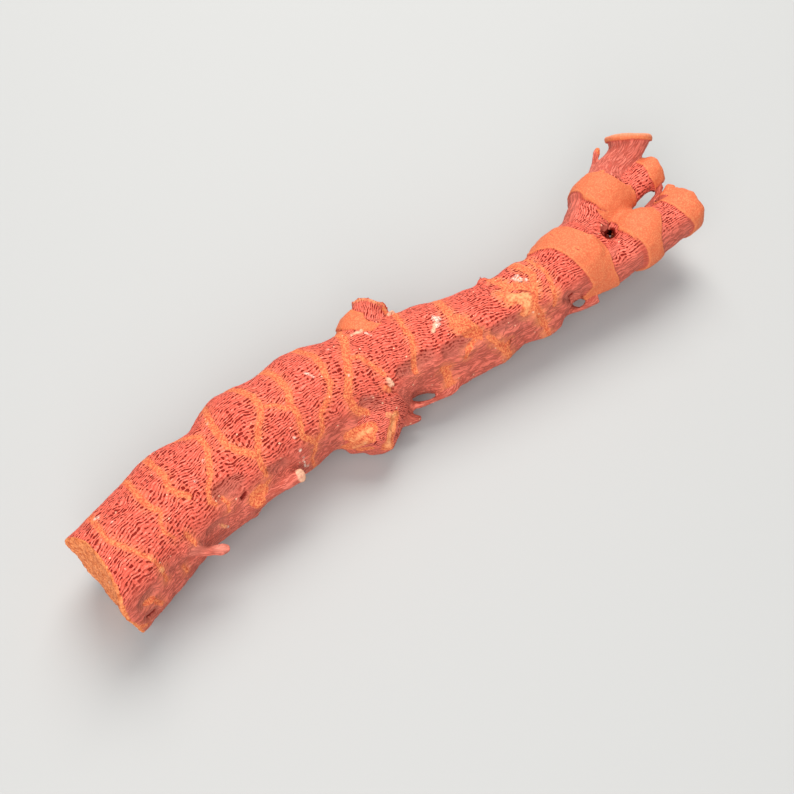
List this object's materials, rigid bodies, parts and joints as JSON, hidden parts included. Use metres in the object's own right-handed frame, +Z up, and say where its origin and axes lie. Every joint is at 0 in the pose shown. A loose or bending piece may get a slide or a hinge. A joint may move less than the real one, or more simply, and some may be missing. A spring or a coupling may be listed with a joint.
{
  "type": "red coral branch",
  "caption": "Dried branch of red coral lying on its side: a thick porous stem with a flat cut base, a side stub and a low lobe, forking into jointed arms with broken tips.",
  "frame": {"origin": "under the middle of the coral's box, on the surface that it lies on", "axes": "+X from the cut base to the branch tips, +Z up"},
  "size_m": [0.1248, 0.0254, 0.0185],
  "materials": {
    "coral_red": "matt, porous, coral red with orange seams",
    "coral_orange": "matt, fine-grained, orange joints and pink-red ribs"
  },
  "bodies": {
    "root": {"lower_stem": "coral_red", "upper_stem": "coral_red", "side_stub": "coral_orange", "lower_lobe": "coral_orange", "right_arm": "coral_orange", "left_arm": "coral_orange", "flared_tip": "coral_red", "middle_tip": "coral_orange", "right_tip": "coral_orange"}
  },
  "joints": []
}
